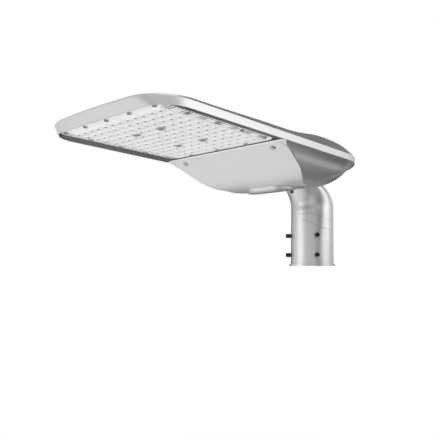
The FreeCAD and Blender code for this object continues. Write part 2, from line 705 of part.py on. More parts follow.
def bend(centre_x, centre_z, r, start, end):
    """Points round a bend of the lead, between two angles in degrees."""
    turns = [math.radians(start + (end - start) * k / BEND_STEPS) for k in range(BEND_STEPS + 1)]
    return [V(centre_x + r * math.cos(a), 0, centre_z + r * math.sin(a)) for a in turns]


def make_led_lead():
    """Lead from the driver, under the tray, up behind it and through the bulkhead to the board."""
    low_r, high_r = 6.0, 4.0
    drop_r = LEAD_Z - RIM_Z - BOARD_TOP - 0.4
    climb_x = TRAY_X1 + 7.0
    start = V(DRIVER_X1, 0, LEAD_LOW_Z)
    path = [start]
    path += bend(climb_x - low_r, LEAD_LOW_Z + low_r, low_r, -90, 0)
    path += bend(climb_x + high_r, LEAD_Z - high_r, high_r, 180, 90)
    path += bend(LEAD_END_X - drop_r, LEAD_Z - drop_r, drop_r, 90, 0)
    corners = [V(start.x, LEAD_R * math.cos(a), start.z + LEAD_R * math.sin(a))
               for a in [2 * math.pi * k / SMALL_SIDES for k in range(SMALL_SIDES + 1)]]
    return Part.makePolygon(path).makePipeShell([Part.makePolygon(corners)], True, False, 1)


def oval(z, tail_x, front_x, half):
    """Smooth closed section of the spigot at a height."""
    centre = (tail_x + front_x) / 2
    reach = (front_x - tail_x) / 2
    turns = [2 * math.pi * k / OVAL_POINTS for k in range(OVAL_POINTS)]
    spline = Part.BSplineCurve()
    spline.interpolate(Points=[V(centre + reach * math.cos(a), half * math.sin(a), z) for a in turns],
                       PeriodicFlag=True)
    return Part.Wire([spline.toShape()])


def dome_tail(z):
    """Tail of the elbow at a height, on its round back."""
    return DOME_X - math.sqrt(DOME_R ** 2 - (z - DOME_Z) ** 2)


def groove_band(drop):
    """Thin curved band that marks a saddle line across the sleeve."""
    radius = (SLEEVE_TOP_R ** 2 + GROOVE_SAG ** 2) / (2 * GROOVE_SAG)
    z = GROOVE_TOP_Z - GROOVE_SAG + radius - drop
    outer = rod(radius + GROOVE_WIDTH / 2, (0, -60, z), (0, 60, z))
    inner = rod(radius - GROOVE_WIDTH / 2, (0, -60, z), (0, 60, z))
    band = outer.cut(inner).common(Part.makeCompound(both_sides(box(-4, 60, 4, 60, 50, z))))
    core = rod(SLEEVE_TOP_R - GROOVE_DEPTH, (0, 0, 49), (0, 0, 151))
    return band.common(rod(SLEEVE_R + 8, (0, 0, 50), (0, 0, 150)).cut(core))


def clamp_screw_ways():
    """Directions of the clamp screws round the sleeve."""
    turns = [math.radians(angle) for angle in CLAMP_SCREW_ANGLES]
    return [(math.cos(a), math.sin(a)) for a in turns]


def make_spigot():
    sections = [Part.Wire(Part.makeCircle(SLEEVE_TOP_R, V(0, 0, z))) for z in (SLEEVE_TOP, DOME_Z)]
    sections += [oval(z, dome_tail(z), front, half) for z, front, half in ELBOW]
    sections += [oval(z, centre - rx, centre + rx, ry) for z, centre, rx, ry in NECK]
    elbow = Part.makeLoft(sections, True, False)
    barrel = rod(BARREL_R, (PIVOT_X, -BARREL_HALF, PIVOT_Z), (PIVOT_X, BARREL_HALF, PIVOT_Z))
    sleeve = Part.makeCone(SLEEVE_R, SLEEVE_TOP_R, SLEEVE_TOP)
    lip = rod(LIP_R, (0, 0, 0), (0, 0, LIP_HEIGHT))
    body = fuse_all([elbow, sleeve, lip, barrel])
    cuts = [rod(SOCKET_R, (0, 0, -1), (0, 0, SOCKET_DEPTH)),
            rod(28.0, (3, 0, SOCKET_DEPTH - 1), (3, 0, 135)),
            rod(9.0, (5, 0, 130), (5, 0, 172)),
            rod(PIVOT_BOLT_R + 0.3, (PIVOT_X, -60, PIVOT_Z), (PIVOT_X, 60, PIVOT_Z)),
            groove_band(0.0), groove_band(GROOVE_PITCH)]
    for z in CLAMP_SCREW_Z:
        cuts += [rod(CLAMP_SCREW_R + 0.05, (0, 0, z), (x * 60, y * 60, z)) for x, y in clamp_screw_ways()]
    cuts.append(placed(Part.makeCylinder(2.6, 9.5), NECK_SCREW_SPOT, NECK_SCREW_WAY))
    return body.cut(Part.makeCompound(cuts))


def make_clamp_screws():
    """Socket set screws that press on the pole."""
    length = SLEEVE_R + CLAMP_SCREW_REACH - SOCKET_R
    body = Part.makeCylinder(CLAMP_SCREW_R, length)
    body = body.makeChamfer(0.5, [body.Edges[0], body.Edges[2]])
    corners = [V(2.3 * math.cos(a), 2.3 * math.sin(a), 0) for a in [math.radians(60 * k) for k in range(7)]]
    screw = body.cut(Part.Face(Part.makePolygon(corners)).extrude(V(0, 0, 4.0)))
    screws = []
    outer = SLEEVE_R + CLAMP_SCREW_REACH
    for z in CLAMP_SCREW_Z:
        screws += [placed(screw, (x * outer, y * outer, z), (-x, -y, 0)) for x, y in clamp_screw_ways()]
    return Part.makeCompound(screws)


def make_neck_screw():
    return placed(socket_screw(3.6, 1.6, 2.4, 9.0, 1.4), NECK_SCREW_SPOT, NECK_SCREW_WAY)


def make_pivot_bolt():
    """Hexagon bolt through the ears and the spigot's barrel."""
    start = EAR_OUT + 2.0
    shank = rod(PIVOT_BOLT_R, (PIVOT_X, -start - 11.0, PIVOT_Z), (PIVOT_X, start + 1.0, PIVOT_Z))
    head = across_bar(8.8, start, 6.4)
    return shank.fuse(head)


def across_bar(corner_r, y, length):
    """Hexagonal bar along +Y about the pivot axis, from y."""
    corners = [V(PIVOT_X + corner_r * math.cos(a), y, PIVOT_Z + corner_r * math.sin(a))
               for a in [math.radians(60 * k) for k in range(7)]]
    return Part.Face(Part.makePolygon(corners)).extrude(V(0, length, 0))


def make_pivot_nut():
    start = EAR_OUT + 2.0
    nut = across_bar(8.8, -start - 8.0, 8.0)
    return nut.cut(rod(PIVOT_BOLT_R + 0.05, (PIVOT_X, -70, PIVOT_Z), (PIVOT_X, 0, PIVOT_Z)))


def make_pivot_washers():
    ring = rod(10.0, (PIVOT_X, EAR_OUT, PIVOT_Z), (PIVOT_X, EAR_OUT + 2, PIVOT_Z))
    ring = ring.cut(rod(PIVOT_BOLT_R + 0.1, (PIVOT_X, 0, PIVOT_Z), (PIVOT_X, 60, PIVOT_Z)))
    return Part.makeCompound(both_sides(ring))


def make_friction_discs():
    """Discs on the ears' inner faces that hold the tilt when the bolt is tight."""
    disc = rod(16.0, (PIVOT_X, BARREL_HALF + 0.3, PIVOT_Z), (PIVOT_X, EAR_IN, PIVOT_Z))
    disc = disc.cut(rod(PIVOT_BOLT_R + 0.1, (PIVOT_X, 0, PIVOT_Z), (PIVOT_X, 60, PIVOT_Z)))
    return Part.makeCompound(both_sides(disc))


def put(name, shape, in_head=True):
    shape = shape.copy()
    if in_head:
        shape.rotate(*HEAD_TURN)
    shape.exportStep(os.path.join("parts", name + ".step"))
    print(name, len(shape.Solids), round(shape.Volume / 1000.0, 2), shape.isValid())


os.makedirs("parts", exist_ok=True)
put("spigot", make_spigot(), False)
put("clamp_screws", make_clamp_screws(), False)
put("neck_screw", make_neck_screw(), False)
put("pivot_bolt", make_pivot_bolt())
put("pivot_nut", make_pivot_nut())
put("pivot_washers", make_pivot_washers())
put("friction_discs", make_friction_discs())
put("lens_plate", make_lens_plate())
put("lens_gasket", make_lens_gasket())
put("led_board", make_led_board())
put("led_chips", make_led_chips())
put("lens_screws", make_lens_screws())
put("lens_centre_screws", make_centre_screws())
put("gear_tray", make_gear_tray())
put("tray_screws", make_tray_screws())
put("led_driver", make_led_driver())
put("surge_protector", make_surge_protector())
put("terminal_block", make_terminal_block())
put("gear_screws", make_gear_screws())
put("lead_gland", make_lead_gland())
put("led_lead", make_led_lead())
put("gear_cover", make_gear_cover())
put("cover_gasket", make_cover_gasket())
put("cover_screws", make_cover_screws())
put("housing", make_housing())
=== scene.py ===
# %% [markdown]
# # A street light head, dressed for the camera
# The head was drawn as a set of solids in one frame: metres, +Z up and +X to the nose. Those
# solids come in first and never move. Everything below puts a surface, a finish or a light
# round them, one small step at a time.

# %% Load the packed solids
import json
import math

import bpy
import numpy as np
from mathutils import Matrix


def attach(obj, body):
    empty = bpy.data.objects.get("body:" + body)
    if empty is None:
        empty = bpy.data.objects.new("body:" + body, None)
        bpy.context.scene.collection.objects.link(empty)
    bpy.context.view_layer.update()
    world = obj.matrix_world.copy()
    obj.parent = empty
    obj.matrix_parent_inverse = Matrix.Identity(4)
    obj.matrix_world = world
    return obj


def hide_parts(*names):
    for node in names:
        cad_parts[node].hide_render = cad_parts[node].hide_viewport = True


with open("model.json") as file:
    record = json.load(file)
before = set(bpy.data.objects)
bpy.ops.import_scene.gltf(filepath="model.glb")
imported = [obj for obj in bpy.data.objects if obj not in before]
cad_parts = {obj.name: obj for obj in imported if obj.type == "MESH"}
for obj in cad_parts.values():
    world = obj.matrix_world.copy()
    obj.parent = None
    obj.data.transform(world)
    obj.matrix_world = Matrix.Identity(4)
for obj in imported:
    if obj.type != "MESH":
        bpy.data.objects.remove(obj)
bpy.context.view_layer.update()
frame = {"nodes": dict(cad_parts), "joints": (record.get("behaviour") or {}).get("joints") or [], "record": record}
nodes = frame["nodes"]

# %% [markdown]
# ## The head's own level frame
# The head stands a little over one degree nose-up about its pivot bolt. Its shapes could be
# written in tilted numbers, but level ones are simpler to read, so they are worked out level, in
# metres, and turned at the end, just as the casting was. The sizes below are the ones that more
# than one piece needs.

# %% Level frame and shared sizes
MM = 0.001
TILT = math.radians(1.35)
PIVOT = np.array(frame["joints"][0]["pos_m"])
RIM_Z = 179.4 * MM
LENS_X0, LENS_X1, LENS_HALF = 266.0 * MM, 494.3 * MM, 113.0 * MM
LENS_MIDDLE = (LENS_X0 + LENS_X1) / 2
LENS_CORNER = 16.0 * MM
LED_COUNT = 12
LED_PITCH = 16.4 * MM
FIELD_HALF = LED_PITCH * LED_COUNT / 2


def in_place(points):
    """Turn level points nose-up about the pivot: x' = x cos t - z sin t, z' = x sin t + z cos t."""
    level = np.asarray(points, float) - PIVOT
    x = level[:, 0] * math.cos(TILT) - level[:, 2] * math.sin(TILT)
    z = level[:, 0] * math.sin(TILT) + level[:, 2] * math.cos(TILT)
    return np.stack([x, level[:, 1], z], 1) + PIVOT


print("pivot at", PIVOT.round(3))

# %% [markdown]
# ## Where the photographer stood
# The camera is level and looks at the spigot from the front right, from a little below the head.
# Tipping it up would bring the head into the picture, but upright edges would then lean. So the
# lens is shifted up instead, as on a view camera, and upright edges stay upright.

# %% Camera
PICTURE = 440.0
FILM_WIDTH = 36.0
FOCAL_PIXELS = 544.0
HORIZON_BELOW_CENTRE = 46.0
CAMERA_PLACE = (0.9089, 0.5992, 0.0)
CAMERA_HEADING = math.radians(133.0)
QUARTER_TURN = math.radians(90.0)

lens = bpy.data.cameras.new("camera")
lens.sensor_width = FILM_WIDTH
lens.lens = FILM_WIDTH * FOCAL_PIXELS / PICTURE
lens.shift_y = HORIZON_BELOW_CENTRE / PICTURE
camera = bpy.data.objects.new("camera", lens)
camera.location = CAMERA_PLACE
camera.rotation_euler = (QUARTER_TURN, 0.0, CAMERA_HEADING)
bpy.context.scene.collection.objects.link(camera)
bpy.context.scene.camera = camera
bpy.context.scene.view_settings.view_transform = "Standard"
print("lens", round(lens.lens, 2), "mm, shift", round(lens.shift_y, 4))

# %% [markdown]
# ## Writing shader maths as plain maths
# A finish is a small formula over the surface. It could be wired node by node, but that hides the
# formula, so one class wraps an output socket: adding or multiplying two of them adds the Math
# node. Every other kind of node comes from one method, which sets the node's choices first and
# its sockets after.

# %% A socket that knows arithmetic
class Wire:
    """An output socket in a node tree. Arithmetic on it adds Math nodes."""

    def __init__(self, finish, socket):
        self.finish = finish
        self.socket = socket

    def maths(self, operation, *values):
        return self.finish.node("ShaderNodeMath", {"operation": operation}, dict(enumerate(values)))

    def __add__(self, other):
        return self.maths("ADD", self, other)

    def __sub__(self, other):
        return self.maths("SUBTRACT", self, other)

    def __rsub__(self, other):
        return self.maths("SUBTRACT", other, self)

    def __mul__(self, other):
        return self.maths("MULTIPLY", self, other)

    def __gt__(self, other):
        return self.maths("GREATER_THAN", self, other)

    def __lt__(self, other):
        return self.maths("LESS_THAN", self, other)

    def size(self):
        """The value without its sign."""
        return self.maths("ABSOLUTE", self)

    def fraction(self):
        """What is left of a positive value past its last whole number."""
        return self.maths("FRACT", self)

    def maximum(self, other):
        return self.maths("MAXIMUM", self, other)

    __radd__ = __add__
    __rmul__ = __mul__


print("sockets can be added, taken away, multiplied and compared")

# %% A finish and its nodes
def grey(tone):
    """Opaque colour with the same red, green and blue."""
    return (tone, tone, tone, 1.0)


class Finish:
    """A material and the nodes that make it."""

    def __init__(self, name):
        self.material = bpy.data.materials.new(name)
        self.material.use_nodes = True
        self.tree = self.material.node_tree
        self.tree.nodes.clear()

    def node(self, kind, settings=None, sockets=None, output=0):
        """Add a node: its settings first, then a value or a wire for each named socket."""
        made = self.tree.nodes.new(kind)
        for key, value in (settings or {}).items():
            setattr(made, key, value)
        for key, value in (sockets or {}).items():
            if isinstance(value, Wire):
                self.tree.links.new(value.socket, made.inputs[key])
            else:
                made.inputs[key].default_value = value
        return Wire(self, made.outputs[output])

    def place(self):
        """The point on the surface, in metres, in the object's own frame."""
        return self.node("ShaderNodeTexCoord", output="Object")

    def axis(self, letter, where=None):
        """One coordinate of a point, which is the point on the surface unless another is given."""
        return self.node("ShaderNodeSeparateXYZ", sockets={0: where or self.place()}, output=letter)

    def noise(self, scale, detail):
        """Cloudy value about one half, with scale clouds to the metre."""
        sockets = {"Vector": self.place(), "Scale": scale, "Detail": detail}
        return self.node("ShaderNodeTexNoise", sockets=sockets, output="Fac")

    def blend(self, mask, low, high):
        """Colour low where the mask is 0, and high where it is 1."""
        settings = {"data_type": "RGBA"}
        return self.node("ShaderNodeMix", settings, {0: mask, 6: low, 7: high}, output=2)

    def ramp(self, value, start, end):
        """0 up to the start, 1 past the end, and straight between; start may be the larger."""
        sockets = {"Value": value, "From Min": start, "From Max": end}
        return self.node("ShaderNodeMapRange", sockets=sockets)

    def bump(self, height, strength, distance):
        """Normal of a skin that a height lifts by up to a distance in metres."""
        sockets = {"Height": height, "Strength": strength, "Distance": distance}
        return self.node("ShaderNodeBump", sockets=sockets)

    def surface(self, **sockets):
        """The shader that ends the tree. Socket names are written with low lines for spaces."""
        named = {key.replace("_", " "): value for key, value in sockets.items()}
        shader = self.node("ShaderNodeBsdfPrincipled", sockets=named)
        end = self.tree.nodes.new("ShaderNodeOutputMaterial")
        self.tree.links.new(shader.socket, end.inputs["Surface"])
        return self.material


print("a finish has", ", ".join(key for key in vars(Finish) if not key.startswith("_")))

# %% [markdown]
# ## The studio
# Small lamps would leave hard spots on coated metal. Product photographs use a few large soft
# panels instead: the metal shows the panels, and the gaps between them draw the dark bands that
# make a tube look round. The side panel lights the rim and the near side of the sleeve, the front
# panel the nose, and the top panel the roof. The widest lies just above the floor, under the lens
# and the gear cover, which look straight down.

# %% Panels of light
MIDDLE = (0.25, 0.0, 0.17)


def around(heading, distance, height):
    """Point at a heading in degrees and a distance from the head's middle, at a height."""
    a = math.radians(heading)
    return (MIDDLE[0] + distance * math.cos(a), MIDDLE[1] + distance * math.sin(a), height)


def panel(name, place, target, width, watts, height=None):
    """Soft light at a place, facing a target: square, unless a height is given."""
    light = bpy.data.lights.new(name, "AREA")
    light.shape = "RECTANGLE"
    light.size = width
    light.size_y = height or width
    light.energy = watts
    holder = bpy.data.objects.new(name, light)
    holder.location = place
    way = np.array(target, float) - np.array(place, float)
    turn = math.atan2(way[1], way[0])
    rise = math.atan2(way[2], math.hypot(way[0], way[1]))
    holder.rotation_euler = (QUARTER_TURN + rise, 0.0, turn - QUARTER_TURN)
    holder.visible_camera = False
    bpy.context.scene.collection.objects.link(holder)


panel("side_panel", around(118.0, 2.0, 0.72), MIDDLE, width=1.8, watts=17.5, height=1.3)
panel("front_panel", around(-35.0, 2.2, 0.1), MIDDLE, width=1.4, watts=12.0)
panel("top_panel", around(200.0, 0.3, 2.4), MIDDLE, width=1.2, watts=7.0)
panel("low_panel", (0.5, -0.2, -0.99), (0.5, -0.2, 0.0), width=3.6, watts=26.0)
print(len(bpy.data.lights), "panels")

# %% [markdown]
# ## Black cards
# Coated metal is drawn as much by what is dark round it as by its lights. Painting the shade on
# the metal would be wrong from any other side, so black cards are put where the metal mirrors
# them, as a photographer would. Two large ones, behind and low on the left, darken the faces
# that look down. Small ones draw the dark band down the sleeve and quieten the elbow, the
# collar's flank and the nose's near corner. One lies on the floor behind, and a ceiling darkens
# the roof's flanks. The camera doesn't see the cards themselves.

# %% Cards
CARD_TONE = 0.02
FLAT = 0.0


def card(name, middle, width, height, turn=0.0, tip=90.0):
    """Dark card about a middle point, tipped up and then turned about the vertical, in degrees."""
    bpy.ops.mesh.primitive_plane_add(size=1.0)
    flag = bpy.context.object
    flag.name = name
    flag.scale = (width, height, 1.0)
    flag.location = middle
    flag.rotation_euler = (math.radians(tip), 0.0, math.radians(turn))
    flag.visible_camera = False
    cloth = bpy.data.materials.new(name)
    cloth.use_nodes = True
    black = cloth.node_tree.nodes["Principled BSDF"]
    black.inputs["Base Color"].default_value = grey(CARD_TONE)
    black.inputs["Roughness"].default_value = 1.0
    flag.data.materials.append(cloth)
    return flag


cards = [
    card("card_behind", around(223.0, 2.0, -0.15), 3.0, 1.6, turn=313.0),
    card("card_low_left", around(150.0, 2.0, -0.52), 2.2, 0.85, turn=240.0),
    card("card_for_sleeve", (0.20, 0.52, -0.10), 0.30, 0.48, turn=160.0),
    card("card_for_elbow", (0.27, 0.47, -0.97), 0.85, 0.85, tip=FLAT),
    card("card_for_collar", (0.05, 0.16, 0.113), 0.12, 0.06, turn=228.0),
    card("card_for_corner", (1.45, 0.10, -0.97), 1.1, 1.0, tip=FLAT),
    card("card_on_floor", (-1.05, 0.3, -0.98), 1.5, 1.5, tip=FLAT),
    card("ceiling", (-3.7, 1.0, 2.8), 6.0, 9.0, tip=FLAT),
]
print(len(cards), "cards")

# %% [markdown]
# ## World
# The walls are white to the camera and in reflections, and grey for the soft light that they
# give. One white world would do both, but it would also flood the metal with light. So Light
# Path tells the two uses apart, and a Mix Shader takes the white one for the rays that see it.

# %% World
WORLD_GREY = 0.28


def seen_directly(tree):
    """1 for camera, glossy and transmission rays: the largest of the three outputs."""
    path = tree.nodes.new("ShaderNodeLightPath")
    largest = path.outputs["Is Camera Ray"]
    for other in ("Is Glossy Ray", "Is Transmission Ray"):
        both = tree.nodes.new("ShaderNodeMath")
        both.operation = "MAXIMUM"
        tree.links.new(largest, both.inputs[0])
        tree.links.new(path.outputs[other], both.inputs[1])
        largest = both.outputs[0]
    return largest


def mixed(tree, factor, low, high):
    """Shader low where the factor is 0, and high where it is 1."""
    mix = tree.nodes.new("ShaderNodeMixShader")
    tree.links.new(factor, mix.inputs[0])
    tree.links.new(low, mix.inputs[1])
    tree.links.new(high, mix.inputs[2])
    return mix.outputs[0]


world = bpy.data.worlds.new("studio")
bpy.context.scene.world = world
world.use_nodes = True
wall_tree = world.node_tree
soft = wall_tree.nodes["Background"]
soft.inputs["Color"].default_value = grey(WORLD_GREY)
white = wall_tree.nodes.new("ShaderNodeBackground")
white.inputs["Color"].default_value = grey(1.0)
seen = mixed(wall_tree, seen_directly(wall_tree), soft.outputs[0], white.outputs[0])
wall_tree.links.new(seen, wall_tree.nodes["World Output"].inputs["Surface"])
print("world", WORLD_GREY, "for soft light")

# %% [markdown]
# ## Floor
# The floor is white in the same way, by a plain emission of strength 1. A floor that only glows
# shows no shadow, so close to the object it also shows a part of its own lit surface. That part
# fades out with the distance from the middle, and no edge shows.

# %% Floor
FLOOR_Z = -1.0
FLOOR_SIZE = 30.0
FLOOR_TONE, FLOOR_ROUGHNESS = 0.85, 0.9
FLOOR_SHADE = 0.18
SHADE_START, SHADE_END = 0.8, 2.2

bpy.ops.mesh.primitive_plane_add(size=FLOOR_SIZE, location=(0.0, 0.0, FLOOR_Z))
floor = bpy.context.object
floor.name = "floor"
floor_material = bpy.data.materials.new("floor_white")
floor_material.use_nodes = True
floor_tree = floor_material.node_tree
lit = floor_tree.nodes["Principled BSDF"]
lit.inputs["Base Color"].default_value = grey(FLOOR_TONE)
lit.inputs["Roughness"].default_value = FLOOR_ROUGHNESS
glow = floor_tree.nodes.new("ShaderNodeEmission")
place = floor_tree.nodes.new("ShaderNodeTexCoord")
reach = floor_tree.nodes.new("ShaderNodeVectorMath")
reach.operation = "LENGTH"
floor_tree.links.new(place.outputs["Object"], reach.inputs[0])
fade = floor_tree.nodes.new("ShaderNodeMapRange")
fade.inputs["From Min"].default_value = SHADE_START
fade.inputs["From Max"].default_value = SHADE_END
fade.inputs["To Min"].default_value = 1.0 - FLOOR_SHADE
fade.inputs["To Max"].default_value = 1.0
floor_tree.links.new(reach.outputs["Value"], fade.inputs["Value"])
pale = mixed(floor_tree, fade.outputs[0], lit.outputs[0], glow.outputs[0])
shown = mixed(floor_tree, seen_directly(floor_tree), lit.outputs[0], pale)
floor_tree.links.new(shown, floor_tree.nodes["Material Output"].inputs["Surface"])
floor.data.materials.append(floor_material)
print("floor at", FLOOR_Z, "m")

# %% [markdown]
# ## Silver coat
# The castings carry a satin silver powder coat: grey with a little metal in it, and a very fine
# orange-peel skin from the oven. One grey would look like plastic, and a full metal like chrome,
# so the coat lies between the two. Three noises break it up: a coarse one and a very fine one
# move the tone, and a third is only felt in how the light breaks on the surface.

# %% Silver coat
COAT_TONES = grey(0.52), grey(0.62)
# Colour of the painted shade in the recess round the lens and on the collar's flank
PAINTED_SHADE_TONE = (0.06, 0.06, 0.062, 1.0)
COAT_METAL, COAT_ROUGHNESS = 0.62, 0.36
CLOUD_SCALE, FLAKE_SCALE, PEEL_SCALE = 14.0, 2600.0, 900.0


def silver_coat(name="silver_coat", painted_shade=None):
    """Satin silver. The last argument, where given, is the function of the mask where shade is painted dark."""
    finish = Finish(name)
    cloud = finish.noise(CLOUD_SCALE, 3.0)
    flake = finish.noise(FLAKE_SCALE, 1.0)
    peel = finish.noise(PEEL_SCALE, 2.0)
    tone = finish.blend(cloud * 0.4 + flake * 0.6, *COAT_TONES)
    # Painted shade: the mask darkens the coat where shade falls
    if painted_shade:
        tone = finish.blend(painted_shade(finish), tone, PAINTED_SHADE_TONE)
    return finish.surface(
        Base_Color=tone,
        Metallic=COAT_METAL,
        Roughness=COAT_ROUGHNESS + cloud * 0.04 + flake * 0.04,
        Normal=finish.bump(peel, strength=0.06, distance=0.2 * MM))


print("silver coat with", COAT_METAL, "of metal")

# %% [markdown]
# ## Painted shade in the recess round the lens
# The casting dishes inwards between the rim and the lens plate. That corner lies in shade, so a
# dark line shows all round the lens, and that shade is painted into the coat's colour. It is one
# piece with the rim, so it can't have a material of its own. It is found by place instead: the
# thin layer just above the rim's lower edge, inside the rounded outline, in the level head's own
# coordinates.

# %% Painted shade in the recess
RECESS_LOW, RECESS_HIGH = 0.15 * MM, 3.6 * MM
RECESS_HALF = 129.3 * MM
RECESS_CORNER = 39.6 * MM
RECESS_TAIL, RECESS_NOSE = 265.0 * MM, 497.2 * MM


def level_axes(finish):
    """Level x, y and z of the surface. About the pivot, the turn back is
    x' = x cos t + z sin t and z' = z cos t - x sin t."""
    x, y, z = (finish.axis(letter) for letter in "XYZ")
    x, z = x - float(PIVOT[0]), z - float(PIVOT[2])
    level_x = x * math.cos(TILT) + z * math.sin(TILT) + float(PIVOT[0])
    level_z = z * math.cos(TILT) - x * math.sin(TILT) + float(PIVOT[2])
    return level_x, y, level_z


# Mask of the painted shade round the lens
def recess_painted_shade(finish):
    """1 on the dished border round the lens plate: past the start of each rounded corner, the
    squares of the distances along x and y add up to less than the corner's radius squared."""
    x, y, z = level_axes(finish)
    layer = (z > RIM_Z + RECESS_LOW) * (z < RIM_Z + RECESS_HIGH)
    over_x = (x - (RECESS_NOSE - RECESS_CORNER)).maximum(0.0)
    over_y = (y.size() - (RECESS_HALF - RECESS_CORNER)).maximum(0.0)
    inside = (over_x * over_x + over_y * over_y) < RECESS_CORNER ** 2
    return layer * inside * (x > RECESS_TAIL)


print("recess from", RECESS_TAIL, "to", RECESS_NOSE, "m")

# %% [markdown]
# ## Shade on the collar
# The gear cover's collar closes round the spigot's neck, and its flank lies in the shade of both.
# A card alone would have to stand in the way of the sleeve's light, so the coat itself gets darker
# there: along the collar towards the neck, and only below the belly.

# %% Collar shade
COLLAR_LIT, COLLAR_DARK = 182.0 * MM, 138.0 * MM
COLLAR_TOP, COLLAR_LOW = 132.5 * MM, 129.5 * MM
COLLAR_SHADE = 0.7


def collar_shade(finish):
    """The shade times how far x is on its way to the neck, times how far z is below the belly."""
    x, _, z = level_axes(finish)
    along = finish.ramp(x, COLLAR_LIT, COLLAR_DARK)
    below = finish.ramp(z, COLLAR_TOP, COLLAR_LOW)
    return along * below * COLLAR_SHADE


print("collar darkens from", COLLAR_LIT, "to", COLLAR_DARK, "m")

# %% [markdown]
# ## Steel, zinc, rubber and plastic
# The small parts need quieter finishes, and a flat colour would make them look like toys. The
# lens screws are stainless with fine turning marks, the set screws are blackened, and the inner
# tray is spangled zinc. Rubber and mouldings differ only in tone, roughness and grain, so one
# function makes them all.

# %% Small finishes
def screw_steel():
    """Stainless steel: two greys through fine turning marks, which also lift the skin."""
    finish = Finish("screw_steel")
    marks = finish.noise(3200.0, 3.0)
    tone = finish.blend(marks, (0.36, 0.36, 0.37, 1.0), (0.56, 0.56, 0.57, 1.0))
    return finish.surface(Base_Color=tone, Metallic=0.9, Roughness=0.30 + marks * 0.16,
                          Normal=finish.bump(marks, strength=0.15, distance=0.1 * MM))


def black_screw():
    """Blackened steel: nearly black, with an oily gloss."""
    finish = Finish("black_screw")
    marks = finish.noise(2400.0, 3.0)
    tone = finish.blend(marks, (0.012, 0.012, 0.013, 1.0), (0.045, 0.045, 0.05, 1.0))
    return finish.surface(Base_Color=tone, Metallic=0.5, Roughness=0.28 + marks * 0.2)


def zinc_sheet():
    """Zinc: cells of a few millimetres, each with its own tone and gloss."""
    finish = Finish("zinc_sheet")
    spangle = finish.node("ShaderNodeTexVoronoi", {"feature": "F1"},
                          {"Vector": finish.place(), "Scale": 140.0}, output="Color")
    patch = finish.axis("X", spangle)
    tone = finish.blend(patch, (0.50, 0.51, 0.53, 1.0), (0.68, 0.69, 0.71, 1.0))
    return finish.surface(Base_Color=tone, Metallic=0.85, Roughness=0.30 + patch * 0.20)


def grained(name, dark, light, roughness, scale, strength):
    """Moulded or rubber finish: two tones through a noise that also lifts the skin."""
    finish = Finish(name)
    grain = finish.noise(scale, 3.0)
    tone = finish.blend(grain, dark, light)
    return finish.surface(Base_Color=tone, Roughness=roughness + grain * 0.12,
                          Normal=finish.bump(grain, strength, distance=0.2 * MM))


# Dark tone, light tone, roughness, grains to the metre and strength of the bump
GRAINED = {
    "gasket_rubber": (grey(0.05), grey(0.13), 0.7, 1500.0, 0.3),
    "lead_rubber": (grey(0.03), grey(0.09), 0.5, 1200.0, 0.15),
    "block_plastic": ((0.09, 0.09, 0.10, 1.0), (0.16, 0.16, 0.17, 1.0), 0.45, 1400.0, 0.2),
    "driver_case": ((0.22, 0.23, 0.24, 1.0), (0.34, 0.35, 0.36, 1.0), 0.35, 700.0, 0.15),
    "board_white": ((0.78, 0.79, 0.78, 1.0), (0.86, 0.87, 0.86, 1.0), 0.3, 400.0, 0.05),
    "led_phosphor": ((0.80, 0.70, 0.36, 1.0), (0.90, 0.82, 0.50, 1.0), 0.4, 2500.0, 0.1),
}
coats = {
    "silver_coat": silver_coat(),
    "screw_steel": screw_steel(),
    "black_screw": black_screw(),
    "zinc_sheet": zinc_sheet(),
}
coats.update({name: grained(name, *look) for name, look in GRAINED.items()})
print(len(coats), "finishes")

# %% [markdown]
# ## Finishes on the solids
# Most solids already have the right shape, and only get their finish. The record says which
# finish each one has. Five get another one here, because it is closer to the real one: the
# housing and the gear cover have coats with painted shade, the cover's screws carry the cover's
# coat, and the clamp screws and the neck screw are black.

# %% Dress the solids
record = frame["record"]
slot_of = {part["node"]: part["material_slot"] for part in record["subparts"]}
bodies = record["behaviour"]["bodies"]
body_of = {node: body for body, members in bodies.items() for node in members}
for name, solid in nodes.items():
    if slot_of[name] in coats:
        solid.data.materials.clear()
        solid.data.materials.append(coats[slot_of[name]])
# Painted shade: the housing's coat darkens round the lens, and the cover's on the collar's flank
nodes["housing"].data.materials[0] = silver_coat("silver_coat_housing", recess_painted_shade)
nodes["gear_cover"].data.materials[0] = silver_coat("silver_coat_cover", collar_shade)
nodes["cover_screws"].data.materials[0] = coats["silver_coat"]
for name in ("clamp_screws", "neck_screw"):
    nodes[name].data.materials[0] = coats["black_screw"]
print("dressed", sum(slot_of[name] in coats for name in nodes), "solids")

# %% [markdown]
# ## Smooth castings
# The solids come as loose triangles, so their curved faces would show every facet. Rebuilding
# each casting as a surface would risk a second, different shape. So a copy of the solid is merged
# at its seams instead. Its edges that turn by more than a set angle stay sharp, and all the
# others are shaded as one smooth skin, with the large faces setting the direction.

# %% Smooth copies of the castings
MERGE_DISTANCE = 0.002 * MM
SHARP_TURN = math.radians(24.0)
LARGE_FACES_FIRST = 100
SMOOTHED = ("housing", "gear_cover", "spigot")


